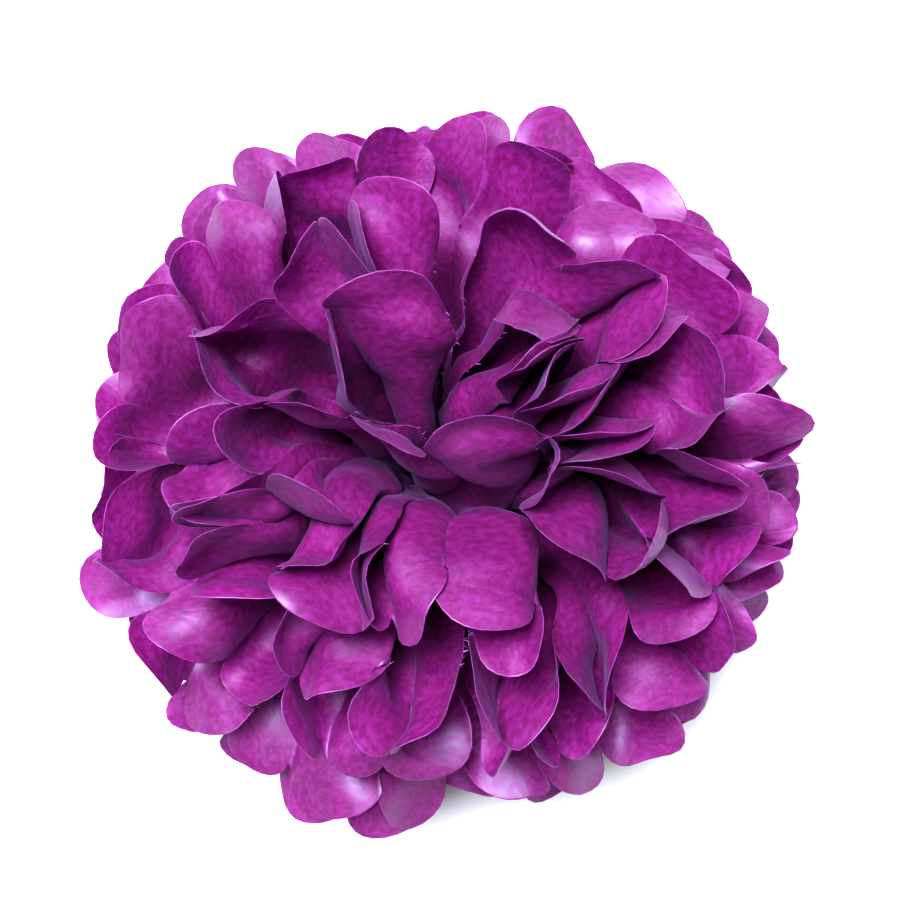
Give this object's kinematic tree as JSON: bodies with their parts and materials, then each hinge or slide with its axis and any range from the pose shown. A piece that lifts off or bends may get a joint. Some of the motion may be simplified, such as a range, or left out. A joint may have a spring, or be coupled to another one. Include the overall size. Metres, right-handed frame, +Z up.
{
  "type": "tissue paper pom pom",
  "caption": "Ball of fluffed tissue paper, made from pleated sheets bound at the waist with wire, lying with one pole up.",
  "frame": {"origin": "on the table under the middle of the ball, at the centre of the box's underside", "axes": "+Z up along the ball's pole; X along the length of the sheets as they were folded; the binding wire's twist points to -Y"},
  "size_m": [0.25, 0.2452, 0.2076],
  "materials": {
    "tissue": "dyed tissue paper, matt, lets light through",
    "wire": "green lacquered soft iron wire"
  },
  "bodies": {
    "root": {"tissue_sheet_01": "tissue", "tissue_sheet_02": "tissue", "tissue_sheet_03": "tissue", "tissue_sheet_04": "tissue", "tissue_sheet_05": "tissue", "tissue_sheet_06": "tissue", "tissue_sheet_07": "tissue", "tissue_sheet_08": "tissue", "tissue_sheet_09": "tissue", "tissue_sheet_10": "tissue", "binding_wire": "wire"}
  },
  "joints": []
}
